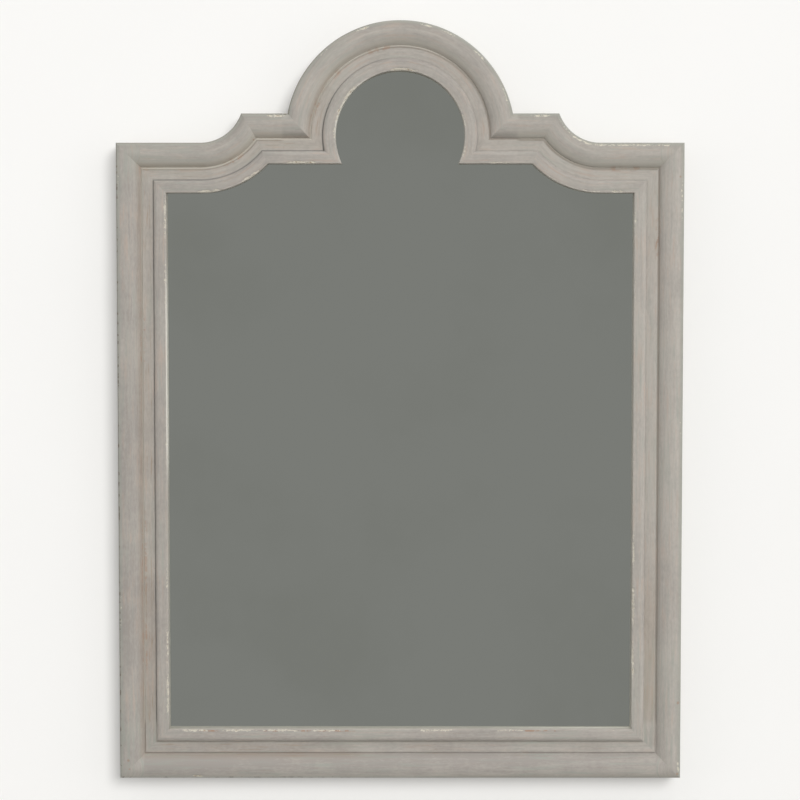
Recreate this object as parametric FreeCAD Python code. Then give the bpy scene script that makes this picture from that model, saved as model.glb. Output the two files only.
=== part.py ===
"""Overmantel mirror with an arched, shouldered frame of painted wood.

Millimetres. +X runs to the right as seen from the front, +Z up, and the front faces -Y.
The origin lies on the wall, midway between the hinge lines of the two rings that it hangs by.
Offsets are measured inwards from the frame's outer outline, and levels forwards from its back.
"""
import FreeCAD, Part
import math
import os
from FreeCAD import Vector

# Outline, seen from the front
frame_width = 900.0
shoulder_height = 1016.0
ledge_rise = 46.0
arch_centre_rise = 10.5
arch_radius_share = 0.202
cavetto_radius = 69.0
cavetto_offset_share = 0.352

# Moulding, from the outer edge inwards: a cushion, a low band and the sight band
frame_depth = 45.0
cushion_width = 40.5
low_band_width = 18.5
sight_band_width = 21.0
edge_roll_radius = 7.0
edge_roll_angle = 60.0
crown_radius = 23.0
quirk_width = 1.2
quirk_level = 32.8
low_band_level = 34.5
low_band_fall = 0.8
sight_band_level = 41.0
sight_band_fall = 1.0
sight_shoulder_width = 8.0
sight_shoulder_height = 5.2
arris_width = 1.0
sight_round_radius = 2.5
edge_roll_facets = 2
crown_facets = 2
inner_roll_facets = 3
sight_shoulder_facets = 2
sight_round_facets = 1

# Rebates behind the sight band
glass_level = 27.0
glass_cover = 8.0
glass_clearance = 2.0
glass_thickness = 4.0
board_thickness = 4.0
board_inset = 3.0
board_landing = 12.0
board_clearance = 1.0

# Loose tongues in the mitres
tongue_length = 36.0
tongue_width = 22.0
tongue_thickness = 4.0
tongue_offset = 30.0
tongue_level = 15.0
glue_gap = 0.1

# Beads and blocks that hold the glass
bead_width = 12.0
block_length = 46.0
block_clearance = 2.5
arch_block_angles = (32.0, 90.0, 148.0)

# Sprigs: flat pointed tabs that hold the backing board
sprig_length = 16.0
sprig_width = 6.0
sprig_thickness = 0.6
sprig_point = 4.0
sprig_cover = 8.0
sprig_gap = 0.05
sprig_margin = 70.0
stile_sprig_count = 5
rail_sprig_count = 4
arch_sprig_angles = (14.0, 62.0)

# Hangers: a folded strap, a ring that swings in it, and two screws
hanger_drop = 136.0
strap_width = 20.0
strap_thickness = 1.5
strap_length = 56.0
ring_wire_radius = 2.0
ring_radius = 15.0
ring_clearance = 0.1
strap_screw_radius = 2.0
strap_screw_length = 22.0
strap_screw_head_radius = 3.8
strap_screw_head_height = 2.5
strap_hole_clearance = 0.3
strap_screw_starts = (25.0, 44.0)
pilot_clearance = 0.05
ring_wire_sides = 8
ring_chords = 10

# Wall bumpers
bumper_height = 9.0
bumper_width = 18.0
bumper_face_width = 13.0
bumper_inset = 46.0

overrun = 6.0
mitre_steps = 8
straight_limit = 0.001

# Worked out from the sizes above
half_width = frame_width / 2
arch_radius = frame_width * arch_radius_share
cavetto_offset = frame_width * cavetto_offset_share
face_width = cushion_width + low_band_width + sight_band_width
rebate_offset = face_width - glass_cover - glass_clearance
board_offset = rebate_offset - board_landing
landing_level = board_inset + board_thickness
shoulder_z = hanger_drop
foot_z = shoulder_z - shoulder_height
ledge_z = shoulder_z + ledge_rise
arch_centre_z = shoulder_z + arch_centre_rise
cavetto_centre_z = shoulder_z + cavetto_radius
glass_back_level = glass_level - glass_thickness
back_y = -bumper_height
front_y = back_y - frame_depth
forward = Vector(0, -1, 0)
backward = Vector(0, 1, 0)
right = Vector(1, 0, 0)
up = Vector(0, 0, 1)


def at_level(x, level, z):
    """A point of the frame, by its distance in front of the back plane."""
    return Vector(x, back_y - level, z)


def mirrored(point):
    return Vector(-point.x, point.y, point.z)


def mirrored_shape(shape):
    return shape.mirror(Vector(0, 0, 0), right)


def moved_to(point, y):
    return Vector(point.x, y, point.z)


def edge(points):
    """Two points make a straight edge, and three an arc."""
    if len(points) == 2:
        return Part.LineSegment(*points).toShape()
    return Part.Arc(*points).toShape()


def face_of(edges):
    return Part.Face(Part.Wire(Part.__sortEdges__(edges)))


def polygon_face(corners):
    return Part.Face(Part.makePolygon(corners + corners[:1]))


def solid_through(stations):
    """A closed solid through a row of polygons whose corners match."""
    faces = [polygon_face(stations[0]), polygon_face(stations[-1])]
    for near, far in zip(stations, stations[1:]):
        for i in range(len(near)):
            faces.append(polygon_face([near[i - 1], near[i], far[i], far[i - 1]]))
    shell = Part.Shell(faces)
    shell.sewShape()
    solid = Part.Solid(shell)
    if solid.Volume < 0:
        solid.reverse()
    return solid


# Where neighbouring lengths of the moulding meet, at any offset from the outline

def stile_foot(offset):
    return Vector(half_width - offset, 0, foot_z + offset)


def shoulder_corner(offset):
    return Vector(half_width - offset, 0, shoulder_z - offset)


def cavetto_end(offset):
    """Where the hollow curve runs into the ledge."""
    reach = cavetto_radius + offset
    drop = reach - ledge_rise
    return Vector(cavetto_offset - math.sqrt(reach**2 - drop**2), 0, ledge_z - offset)


def arch_foot(offset):
    """Where the ledge runs into the arch."""
    reach = arch_radius - offset
    rise = ledge_z - offset - arch_centre_z
    return Vector(math.sqrt(reach**2 - rise**2), 0, ledge_z - offset)


def arch_crown(offset):
    return Vector(0, 0, arch_centre_z + arch_radius - offset)


# The lines of the outline's right half, at any offset, as edges between those meetings

def rail_path(offset):
    return [[mirrored(stile_foot(offset)), stile_foot(offset)]]


def stile_path(offset):
    return [[stile_foot(offset), shoulder_corner(offset)]]


def shoulder_path(offset):
    tangent = Vector(cavetto_offset, 0, shoulder_z - offset)
    end = cavetto_end(offset)
    reach = cavetto_radius + offset
    turn = (math.atan2(end.z - cavetto_centre_z, end.x - cavetto_offset) - math.pi / 2) / 2
    middle = Vector(
        cavetto_offset + reach * math.cos(turn), 0, cavetto_centre_z + reach * math.sin(turn)
    )
    return [[shoulder_corner(offset), tangent], [tangent, middle, end]]


def ledge_path(offset):
    return [[cavetto_end(offset), arch_foot(offset)]]


def arch_point(offset, angle):
    reach = arch_radius - offset
    turn = math.radians(angle)
    return Vector(reach * math.cos(turn), 0, arch_centre_z + reach * math.sin(turn))


def arch_foot_angle(offset):
    foot = arch_foot(offset)
    return math.degrees(math.atan2(foot.z - arch_centre_z, foot.x))


def arch_path(offset):
    middle = arch_point(offset, (arch_foot_angle(offset) + 90) / 2)
    return [[arch_foot(offset), middle, arch_crown(offset)]]


# Sections, as (offset, level) points

def arc_points(centre, radius, start, end, facets):
    """Points along an arc, by angle in degrees."""
    turns = [math.radians(start + (end - start) * i / facets) for i in range(facets + 1)]
    return [(centre[0] + radius * math.cos(t), centre[1] + radius * math.sin(t)) for t in turns]


def moulding_section():
    roll = math.radians(edge_roll_angle)
    crest = edge_roll_radius * (1 - math.cos(roll)) + crown_radius * math.cos(roll)
    side_height = (
        frame_depth - crown_radius * (1 - math.sin(roll)) - edge_roll_radius * math.sin(roll)
    )
    inner_reach = cushion_width - quirk_width - crest
    inner_drop = frame_depth - quirk_level
    inner_radius = (inner_reach**2 + inner_drop**2) / (2 * inner_drop)
    inner_end = math.degrees(math.acos(inner_reach / inner_radius))
    edge_roll = arc_points(
        (edge_roll_radius, side_height),
        edge_roll_radius,
        180,
        180 - edge_roll_angle,
        edge_roll_facets,
    )
    crown = arc_points(
        (crest, frame_depth - crown_radius), crown_radius, 180 - edge_roll_angle, 90, crown_facets
    )
    inner_roll = arc_points(
        (crest, frame_depth - inner_radius), inner_radius, 90, inner_end, inner_roll_facets
    )
    step = cushion_width + low_band_width
    sight_shoulder = [
        (step + sight_shoulder_width * (1 + x), sight_band_level - sight_shoulder_height * (1 - z))
        for x, z in arc_points((0, 0), 1, 180, 90, sight_shoulder_facets)
    ]
    sight_level = sight_band_level - sight_band_fall
    sight_round = arc_points(
        (face_width - sight_round_radius, sight_level - sight_round_radius),
        sight_round_radius,
        90,
        0,
        sight_round_facets,
    )
    return [
        (0, 0),
        *edge_roll,
        *crown[1:],
        *inner_roll[1:],
        (cushion_width, quirk_level),
        (cushion_width, low_band_level - arris_width),
        (cushion_width + arris_width, low_band_level),
        (step, low_band_level - low_band_fall),
        *sight_shoulder,
        *sight_round,
        (face_width, glass_level),
        (rebate_offset, glass_level),
        (rebate_offset, landing_level),
        (board_offset, landing_level),
        (board_offset, 0),
    ]


def bead_section():
    """A bead lies on the glass and against the rebate's wall, under the backing board."""
    inner = rebate_offset + bead_width
    return [
        (rebate_offset, landing_level),
        (rebate_offset, glass_back_level),
        (inner, glass_back_level),
        (inner, landing_level),
    ]


def section_face(section, point, inward):
    """Lays a section across the run, with its zero offset at a point of the outer outline."""
    start = moved_to(point, back_y)
    return polygon_face([start + inward * u + forward * level for u, level in section])


def straight_run(section, start, end, inward):
    return section_face(section, start, inward).extrude(end - start)


def curved_run(section, start, inward, centre, angle):
    return section_face(section, start, inward).revolve(centre, backward, angle)


# Mitres: each is the line along which two lengths have the same offset

def mitre_edge(meeting, y):
    reach = face_width + 2 * overrun
    offsets = [-overrun + reach * i / mitre_steps for i in range(mitre_steps + 1)]
    spots = [moved_to(meeting(u), y) for u in offsets]
    chord = edge([spots[0], spots[-1]])
    bow = max(chord.distToShape(Part.Vertex(p))[0] for p in spots)
    if bow < straight_limit:
        return chord
    curve = Part.BSplineCurve()
    curve.interpolate(spots)
    return curve.toShape()


def mitred(run, path, first_meeting, second_meeting):
    """Cuts a run to the block of space between two mitres."""
    y = front_y - overrun
    edges = [mitre_edge(first_meeting, y), mitre_edge(second_meeting, y)]
    for offset in (-overrun, face_width + overrun):
        edges += [edge([moved_to(p, y) for p in points]) for points in path(offset)]
    return run.common(face_of(edges).extrude(backward * (frame_depth + 2 * overrun)))


def make_bottom_rail():
    start = Vector(-half_width - overrun, 0, foot_z)
    end = Vector(half_width + overrun, 0, foot_z)
    run = straight_run(moulding_section(), start, end, up)
    return mitred(run, rail_path, lambda u: mirrored(stile_foot(u)), stile_foot)


def make_right_stile():
    start = Vector(half_width, 0, foot_z - overrun)
    end = Vector(half_width, 0, shoulder_z + overrun)
    run = straight_run(moulding_section(), start, end, -right)
    return mitred(run, stile_path, stile_foot, shoulder_corner)


def make_right_shoulder():
    """The flat shoulder and the hollow curve beside it are one length of moulding."""
    tangent = Vector(cavetto_offset, 0, shoulder_z)
    corner = Vector(half_width + overrun, 0, shoulder_z)
    centre = Vector(cavetto_offset, 0, cavetto_centre_z)
    section = moulding_section()
    flat = straight_run(section, tangent, corner, -up)
    hollow = curved_run(section, tangent, -up, centre, 90)
    run = flat.fuse(hollow).removeSplitter()
    return mitred(run, shoulder_path, shoulder_corner, cavetto_end)


def make_right_ledge():
    """The short flat ledge between the hollow curve and the arch."""
    start = Vector(cavetto_end(-overrun).x + overrun, 0, ledge_z)
    end = Vector(arch_foot(face_width + overrun).x - overrun, 0, ledge_z)
    run = straight_run(moulding_section(), start, end, -up)
    return mitred(run, ledge_path, cavetto_end, arch_foot)


def make_right_arch():
    """Half of the arch, from the ledge to the joint at the crown."""
    centre = Vector(0, 0, arch_centre_z)
    turn = 90 - arch_foot_angle(face_width + overrun)
    run = curved_run(moulding_section(), arch_crown(0), -up, centre, turn)
    return mitred(run, arch_path, arch_foot, arch_crown)


# Loose tongues lie across the mitres, flat to the back of the frame

def mitre_places():
    """The middle and the direction of each mitre at the tongue's offset."""
    meetings = [stile_foot, shoulder_corner, cavetto_end, arch_foot]
    meetings += [lambda u, m=m: mirrored(m(u)) for m in list(meetings)]
    meetings.append(arch_crown)
    places = []
    for meeting in meetings:
        middle = meeting(tongue_offset)
        along = meeting(tongue_offset + overrun) - meeting(tongue_offset - overrun)
        places.append((middle, along.normalize()))
    return places


def slab(start, along, outline, thickness):
    """A flat piece, from an outline of (distance along, distance across) points."""
    across = along.cross(backward)
    face = polygon_face([start + along * a + across * b for a, b in outline])
    return face.extrude(forward * thickness)


def tongue(middle, along, gap):
    reach = tongue_length / 2 + gap
    side = tongue_width / 2 + gap
    start = at_level(middle.x, tongue_level - tongue_thickness / 2 - gap, middle.z)
    outline = [(-reach, -side), (reach, -side), (reach, side), (-reach, side)]
    return slab(start, along, outline, tongue_thickness + 2 * gap)


# Sheets cut to the frame's outline at a given offset, such as the glass and the backing board

def sheet(offset, level, thickness):
    half = stile_path(offset) + shoulder_path(offset) + ledge_path(offset) + arch_path(offset)
    half = [[at_level(p.x, level, p.z) for p in points] for points in half]
    rail = [at_level(p.x, level, p.z) for p in rail_path(offset)[0]]
    edges = [edge(rail)] + [edge(points) for points in half]
    edges += [edge([mirrored(p) for p in points]) for points in half]
    return face_of(edges).extrude(forward * thickness)


def make_glass():
    return sheet(face_width - glass_cover, glass_back_level, glass_thickness)


def make_backing_board():
    return sheet(board_offset + board_clearance, board_inset, board_thickness)


# Sprigs are driven into the wall round the backing board, and lie flat on it

def evenly(low, high, count):
    return [low + (high - low) * i / (count - 1) for i in range(count)]


def sprig_places():
    """A point on the wall and the direction inwards from it, for each sprig."""
    low = board_offset + sprig_margin
    places = [
        (Vector(half_width - board_offset, 0, z), -right)
        for z in evenly(foot_z + low, shoulder_z - low, stile_sprig_count)
    ]
    shoulder_middle = (shoulder_corner(board_offset).x + cavetto_offset) / 2
    places.append((Vector(shoulder_middle, 0, shoulder_z - board_offset), -up))
    ledge_middle = (cavetto_end(board_offset).x + arch_foot(board_offset).x) / 2
    places.append((Vector(ledge_middle, 0, ledge_z - board_offset), -up))
    centre = Vector(0, 0, arch_centre_z)
    for angle in arch_sprig_angles:
        point = arch_point(board_offset, angle)
        places.append((point, (centre - point).normalize()))
    places += [(mirrored(point), mirrored(inward)) for point, inward in list(places)]
    reach = half_width - low
    for x in evenly(-reach, reach, rail_sprig_count):
        places.append((Vector(x, 0, foot_z + board_offset), up))
    return places


def sprig(point, inward, gap):
    start = at_level(point.x, board_inset - sprig_thickness - gap, point.z)
    side = sprig_width / 2 + gap
    depth = sprig_length - sprig_cover
    outline = [
        (sprig_cover + gap, -side),
        (sprig_cover + gap, side),
        (sprig_point - depth, side),
        (-depth - gap, 0),
        (sprig_point - depth, -side),
    ]
    return slab(start, inward, outline, sprig_thickness + 2 * gap)


# Beads along the straight rebates, and blocks round the shaped top

def make_right_bead():
    start = Vector(half_width, 0, foot_z + rebate_offset)
    end = Vector(half_width, 0, shoulder_z - rebate_offset)
    return straight_run(bead_section(), start, end, -right)


def make_bottom_bead():
    reach = half_width - rebate_offset - bead_width
    return straight_run(bead_section(), Vector(-reach, 0, foot_z), Vector(reach, 0, foot_z), up)


def make_top_blocks():
    section = bead_section()
    low = cavetto_offset + block_clearance
    high = half_width - rebate_offset - bead_width - block_clearance
    ends = [(Vector(low, 0, shoulder_z), Vector(high, 0, shoulder_z))]
    low = (cavetto_end(rebate_offset).x + arch_foot(rebate_offset).x - block_length) / 2
    ends.append((Vector(low, 0, ledge_z), Vector(low + block_length, 0, ledge_z)))
    blocks = []
    for start, end in ends:
        block = straight_run(section, start, end, -up)
        blocks += [block, mirrored_shape(block)]
    centre = Vector(0, 0, arch_centre_z)
    sweep = math.degrees(block_length / (arch_radius - rebate_offset))
    for angle in arch_block_angles:
        block = curved_run(section, arch_crown(0), -up, centre, sweep)
        block.rotate(centre, backward, 90 - angle - sweep / 2)
        blocks.append(block)
    return Part.makeCompound(blocks)


# Hangers on the stiles' backs

def hanger_axis(side):
    """The middle of the ring's hinge line. The strap's loop is rolled round it."""
    x = side * (half_width - board_offset / 2)
    height = strap_thickness + ring_wire_radius + ring_clearance
    return at_level(x, -height, 0)


def strap_screw_points(side):
    x = hanger_axis(side).x
    return [Vector(x, 0, -start) for start in strap_screw_starts]


def make_strap(side):
    axis = hanger_axis(side)
    bore = ring_wire_radius + ring_clearance
    start = axis - right * (strap_width / 2)
    loop = Part.makeCylinder(bore + strap_thickness, strap_width, start, right)
    end_radius = strap_width / 2
    plate_length = strap_length - end_radius
    corner = Vector(start.x, back_y, -plate_length)
    plate = Part.makeBox(strap_width, strap_thickness, plate_length, corner)
    end_centre = Vector(axis.x, back_y, -plate_length)
    strap = loop.fuse(plate)
    strap = strap.fuse(Part.makeCylinder(end_radius, strap_thickness, end_centre, backward))
    hole_start = start - right * overrun
    strap = strap.cut(Part.makeCylinder(bore, strap_width + 2 * overrun, hole_start, right))
    reach = strap_screw_radius + strap_hole_clearance
    for point in strap_screw_points(side):
        hole = at_level(point.x, overrun, point.z)
        strap = strap.cut(Part.makeCylinder(reach, strap_thickness + 2 * overrun, hole, backward))
    return strap.removeSplitter()


def wire_section(middle, outward, level_way):
    """The corners of the ring's wire, square to its run."""
    turns = [2 * math.pi * i / ring_wire_sides for i in range(ring_wire_sides)]
    across = [outward * math.cos(turn) + level_way * math.sin(turn) for turn in turns]
    return [middle + way * ring_wire_radius for way in across]


def make_ring(side):
    """A D-shaped ring: a straight bar in the strap's loop, and a bow that hangs below it."""
    axis = hanger_axis(side)
    bow = []
    for i in range(ring_chords + 1):
        turn = math.pi * i / ring_chords
        outward = right * math.cos(turn) - up * math.sin(turn)
        bow.append(wire_section(axis + outward * ring_radius, outward, backward))
    reach = right * (ring_radius + ring_wire_radius)
    bar = [wire_section(axis + end, up, backward) for end in (-reach, reach)]
    return solid_through(bow).fuse(solid_through(bar)).removeSplitter()


def make_screw(point):
    """A flat-headed screw with a plain shank, driven forwards through the strap."""
    under_head = at_level(point.x, -strap_thickness, point.z)
    head = Part.makeCylinder(
        strap_screw_head_radius, strap_screw_head_height, under_head, backward
    )
    shank = Part.makeCylinder(strap_screw_radius, strap_screw_length, under_head, forward)
    return head.fuse(shank).removeSplitter()


def make_hanger_screws():
    points = strap_screw_points(-1) + strap_screw_points(1)
    return Part.makeCompound([make_screw(point) for point in points])


# Tapered square bumpers, which keep the frame level and clear of the wall

def bumper_points():
    x = half_width - board_offset / 2
    low = foot_z + bumper_inset
    high = shoulder_z - bumper_inset
    return {
        "left_lower": Vector(-x, 0, low),
        "right_lower": Vector(x, 0, low),
        "left_upper": Vector(-x, 0, high),
        "right_upper": Vector(x, 0, high),
    }


def square(centre, width):
    half = width / 2
    corners = [(-half, -half), (half, -half), (half, half), (-half, half)]
    return [centre + right * a + up * b for a, b in corners]


def make_bumper(point):
    base = square(at_level(point.x, 0, point.z), bumper_width)
    return solid_through([base, square(point, bumper_face_width)])


# Holes and slots in the moulding

def bored(piece):
    """Cuts the slots and pilot holes that fall in this piece."""
    cuts = [tongue(middle, along, glue_gap) for middle, along in mitre_places()]
    cuts += [sprig(point, inward, sprig_gap) for point, inward in sprig_places()]
    for side in (-1, 1):
        for point in strap_screw_points(side):
            start = at_level(point.x, -strap_thickness, point.z)
            reach = strap_screw_radius + pilot_clearance
            cuts.append(Part.makeCylinder(reach, strap_screw_length, start, forward))
    for cut in cuts:
        if piece.BoundBox.intersect(cut.BoundBox):
            piece = piece.cut(cut)
    return piece


def build():
    nodes = {"bottom_rail": bored(make_bottom_rail())}
    makers = {
        "stile": make_right_stile,
        "shoulder": make_right_shoulder,
        "ledge": make_right_ledge,
        "arch": make_right_arch,
    }
    for name, maker in makers.items():
        piece = bored(maker())
        nodes["right_" + name] = piece
        nodes["left_" + name] = mirrored_shape(piece)
    nodes["mitre_tongues"] = Part.makeCompound([tongue(m, a, 0) for m, a in mitre_places()])
    nodes["mirror_glass"] = make_glass()
    nodes["right_bead"] = make_right_bead()
    nodes["left_bead"] = mirrored_shape(nodes["right_bead"])
    nodes["bottom_bead"] = make_bottom_bead()
    nodes["top_blocks"] = make_top_blocks()
    nodes["backing_board"] = make_backing_board()
    nodes["board_sprigs"] = Part.makeCompound([sprig(p, i, 0) for p, i in sprig_places()])
    for name, side in (("left", -1), ("right", 1)):
        nodes[name + "_hanger_strap"] = make_strap(side)
        nodes[name + "_hanger_ring"] = make_ring(side)
    nodes["hanger_screws"] = make_hanger_screws()
    for name, point in bumper_points().items():
        nodes[name + "_bumper"] = make_bumper(point)
    return nodes


def save(nodes):
    os.makedirs("parts", exist_ok=True)
    for name, shape in nodes.items():
        if not shape.isValid():
            raise ValueError(name + " is not a valid solid")
        shape.exportStep("parts/" + name + ".step")
        print(name, len(shape.Solids), "solids", round(shape.Volume / 1000, 2), "cm3")


save(build())
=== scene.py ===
import math
from types import SimpleNamespace

import bmesh
import bpy
from mathutils import Matrix, Vector


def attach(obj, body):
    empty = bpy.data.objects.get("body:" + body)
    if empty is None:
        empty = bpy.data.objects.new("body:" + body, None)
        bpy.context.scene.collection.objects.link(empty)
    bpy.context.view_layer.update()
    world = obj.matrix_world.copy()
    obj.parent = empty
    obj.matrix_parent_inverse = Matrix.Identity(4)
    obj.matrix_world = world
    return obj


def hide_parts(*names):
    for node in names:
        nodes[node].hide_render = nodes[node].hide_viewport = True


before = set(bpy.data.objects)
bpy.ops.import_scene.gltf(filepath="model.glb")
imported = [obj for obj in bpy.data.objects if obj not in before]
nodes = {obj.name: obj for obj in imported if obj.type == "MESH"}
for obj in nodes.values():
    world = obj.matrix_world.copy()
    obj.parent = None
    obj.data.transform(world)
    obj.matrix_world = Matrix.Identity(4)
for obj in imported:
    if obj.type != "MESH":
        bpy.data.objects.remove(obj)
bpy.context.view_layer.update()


def srgb(red, green, blue):  # a colour read off a paint chip, 0 to 255, as the shader wants it
    linear = []
    for part in (red / 255, green / 255, blue / 255):
        linear.append(part / 12.92 if part < 0.04045 else ((part + 0.055) / 1.055) ** 2.4)
    return (*linear, 1)


class Wire:  # a socket that can stand in a sum
    def __init__(self, sheet, socket):
        self.sheet = sheet
        self.socket = socket

    def maths(self, operation, *values):
        return self.sheet.maths(operation, self, *values)

    def also(self, name):  # another output of the same node
        return Wire(self.sheet, self.socket.node.outputs[name])

    def __add__(self, other):
        return self.maths("ADD", other)
    __radd__ = __add__

    def __sub__(self, other):
        return self.maths("SUBTRACT", other)

    def __rsub__(self, other):
        return self.sheet.maths("SUBTRACT", other, self)

    def __mul__(self, other):
        return self.maths("MULTIPLY", other)
    __rmul__ = __mul__

    def __truediv__(self, other):
        return self.maths("DIVIDE", other)

    def __rtruediv__(self, other):
        return self.sheet.maths("DIVIDE", other, self)

    def __pow__(self, other):
        return self.maths("POWER", other)


class Sheet:  # a node tree being written
    def __init__(self, tree):
        self.tree = tree

    def node(self, kind, settings=None, sockets=None, out=0):
        made = self.tree.nodes.new(kind)
        column, row = len(self.tree.nodes) % 12, len(self.tree.nodes) // 12
        made.location = (220 * column, -180 * row)
        for name, value in (settings or {}).items():
            if name == "stops":
                ramp = made.color_ramp
                while len(ramp.elements) < len(value):
                    ramp.elements.new(1)
                for element, (place, colour) in zip(ramp.elements, value):
                    element.position = place
                    element.color = colour
            else:
                setattr(made, name, value)
        for name, value in (sockets or {}).items():
            if isinstance(value, Wire):
                self.tree.links.new(value.socket, made.inputs[name])
            else:
                made.inputs[name].default_value = value
        return Wire(self, made.outputs[out]) if len(made.outputs) else None

    def maths(self, operation, *values):
        return self.node("ShaderNodeMath", {"operation": operation}, dict(enumerate(values)))

    def larger(self, one, two):
        return self.maths("MAXIMUM", one, two)

    def vector(self, operation, *values, out=0):
        settings = {"operation": operation}
        return self.node("ShaderNodeVectorMath", settings, dict(enumerate(values)), out)

    def point(self, x, y, z):
        return self.node("ShaderNodeCombineXYZ", None, {0: x, 1: y, 2: z})

    def split(self, vector):  # gives its x, and also("Y") and also("Z") of that
        return self.node("ShaderNodeSeparateXYZ", None, {0: vector})

    def smooth(self, value, low, high):  # 0 below low, 1 above high, or the other way round
        sockets = {"Value": value, "From Min": low, "From Max": high}
        return self.node("ShaderNodeMapRange", {"interpolation_type": "SMOOTHSTEP"}, sockets)

    def line(self, value, middle, wide, narrow):  # 1 as near the middle as narrow, 0 beyond wide
        return self.smooth(self.maths("ABSOLUTE", value - middle), wide, narrow)

    def spots(self, place, places, wide, narrow, ragged=0.0, mask=0.0):  # round, from the front
        flat = self.vector("MULTIPLY", place, (1, 0, 1))
        for x, z, radius, *badly in places:
            away = self.vector("DISTANCE", flat, (x, 0, z), out="Value") + ragged * radius
            spot = self.smooth(away, radius * wide, radius * narrow)
            mask = self.larger(mask, spot * badly[0] if badly else spot)
        return mask

    def noise(self, place, scale, detail=2.0, roughness=0.5, seed=0.0, distortion=0.0):
        sockets = {"Vector": place, "W": seed, "Scale": scale, "Detail": detail,
                   "Roughness": roughness, "Distortion": distortion}
        return self.node("ShaderNodeTexNoise", {"noise_dimensions": "4D"}, sockets)

    def mix(self, share, first, second):  # of two colours
        return self.node("ShaderNodeMix", {"data_type": "RGBA"}, {0: share, 6: first, 7: second}, 2)

    def ramp(self, value, *stops):
        return self.node("ShaderNodeValToRGB", {"stops": stops}, {0: value})


outline = {  # metres, seen from the front
    "Half width": 0.45,
    "Foot height": -0.88,
    "Shoulder height": 0.136,
    "Ledge height": 0.182,
    "Arch centre height": 0.1465,
    "Arch radius": 0.1818,
    "Hollow radius": 0.069,
    "Hollow centre": 0.3168,
    "Back plane": -0.009,
}

moulding = {  # metres, across the section: offset from the outline, and level above the back
    "depth": 0.045,
    "cushionWidth": 0.0405,
    "edgeRollRadius": 0.007,
    "edgeRollAngle": 60,
    "crownRadius": 0.023,
    "quirkWidth": 0.0012,
    "quirkLevel": 0.0328,
    "quirkWall": 0.0003,
    "lowRound": 0.0015,
    "lowBandEnd": 0.059,
    "lowBandLevels": (0.0345, 0.0337),
    "stepWall": (0.0004, 0.0005),
    "sightShoulder": (0.0080, 0.0052),
    "sightBandLevels": (0.041, 0.040),
    "sightRound": 0.0025,
    "faceWidth": 0.080,
    "glassLevel": 0.027,
    "rebateOffset": 0.070,
    "landingLevel": 0.007,
    "boardOffset": 0.058,
    "backRound": 0.0008,
}
faceMiddle = moulding["faceWidth"] / 2

hand = {  # how far hands and years have moved the wood, in metres; scales are waves to a metre
    "Waviness": 0.00045,
    "Wave scale": 7.0,
    "Scraping": 0.00018,
    "Scrape scale": 60.0,
    "Chip depth": 0.0009,
    "Chip scale": 190.0,
    "Seed": 4.0,
}

# Where the edges have been knocked or rubbed most: x, z, radius in metres, and how badly. The three
# on the left of the arch opening, by the glass near x = -0.09, also paint a highlight where the
# inner wall catches the light
wornPlaces = [
    (0.322, 0.134, 0.030, 0.9), (0.352, 0.134, 0.030, 0.9), (0.384, 0.134, 0.030, 0.9),
    (0.412, 0.134, 0.026, 0.7), (0.298, 0.139, 0.020, 0.8), (0.280, 0.147, 0.016, 0.8),
    (0.265, 0.158, 0.014, 0.7), (0.255, 0.170, 0.012, 0.6), (-0.196, 0.182, 0.024, 1.2),
    (0.222, 0.182, 0.022, 1.2), (-0.300, 0.136, 0.020, 0.35), (0.077, 0.305, 0.022, 0.8),
    (0.121, 0.269, 0.026, 0.8), (0.164, 0.211, 0.026, 0.8), (-0.061, 0.316, 0.020, 1.1),
    (0.041, 0.320, 0.016, 0.9), (-0.120, 0.276, 0.020, 0.6), (-0.371, 0.014, 0.055, 0.65),
    (-0.371, -0.10, 0.060, 0.45), (-0.371, -0.33, 0.050, 0.35), (-0.375, -0.56, 0.050, 0.45),
    (-0.375, -0.66, 0.045, 0.6), (-0.375, -0.745, 0.045, 0.75), (-0.330, -0.802, 0.035, 0.85),
    (-0.260, -0.802, 0.040, 0.8), (-0.190, -0.802, 0.040, 0.8), (-0.120, -0.802, 0.035, 0.6),
    (0.060, -0.802, 0.040, 0.7), (0.180, -0.802, 0.040, 0.5), (-0.302, 0.060, 0.026, 1.1),
    (-0.237, 0.080, 0.024, 1.1), (-0.156, 0.105, 0.034, 1.3), (0.004, 0.250, 0.026, 1.4),
    (0.101, 0.171, 0.022, 0.6), (0.101, 0.124, 0.018, 0.6), (-0.080, 0.212, 0.026, 1.3),
    (-0.098, 0.182, 0.020, 1.0), (-0.102, 0.150, 0.016, 0.6), (0.156, 0.105, 0.030, 0.6),
    (0.300, 0.062, 0.030, 0.55), (0.345, 0.058, 0.020, 0.5), (0.240, 0.078, 0.020, 0.4),
    (0.371, 0.010, 0.035, 0.45), (0.371, -0.10, 0.040, 0.3), (0.371, -0.36, 0.040, 0.3),
    (0.371, -0.51, 0.040, 0.6), (0.371, -0.60, 0.045, 1.0), (0.371, -0.69, 0.045, 0.8),
    (-0.449, 0.085, 0.050, 0.4), (-0.450, -0.624, 0.045, 0.4), (0.447, 0.060, 0.035, 0.6),
    (0.447, 0.020, 0.025, 0.6), (0.447, -0.30, 0.040, 0.3), (0.449, -0.861, 0.012, 1.2),
    (-0.324, -0.879, 0.014, 1.3),
]


def arc(centre, radius, start, end, steps):
    points = []
    for i in range(steps + 1):
        turn = math.radians(start + (end - start) * i / steps)
        points.append((centre[0] + radius * math.cos(turn), centre[1] + radius * math.sin(turn)))
    return points


def oval(centre, reaches, start, end, steps):  # an arc drawn out to two different reaches
    turns = arc((0, 0), 1, start, end, steps)
    return [(centre[0] + reaches[0] * x, centre[1] + reaches[1] * y) for x, y in turns]


def between(start, end, steps):  # the points of a straight stretch, without its ends
    share = [i / steps for i in range(1, steps)]
    return [(start[0] + (end[0] - start[0]) * s, start[1] + (end[1] - start[1]) * s) for s in share]


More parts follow.
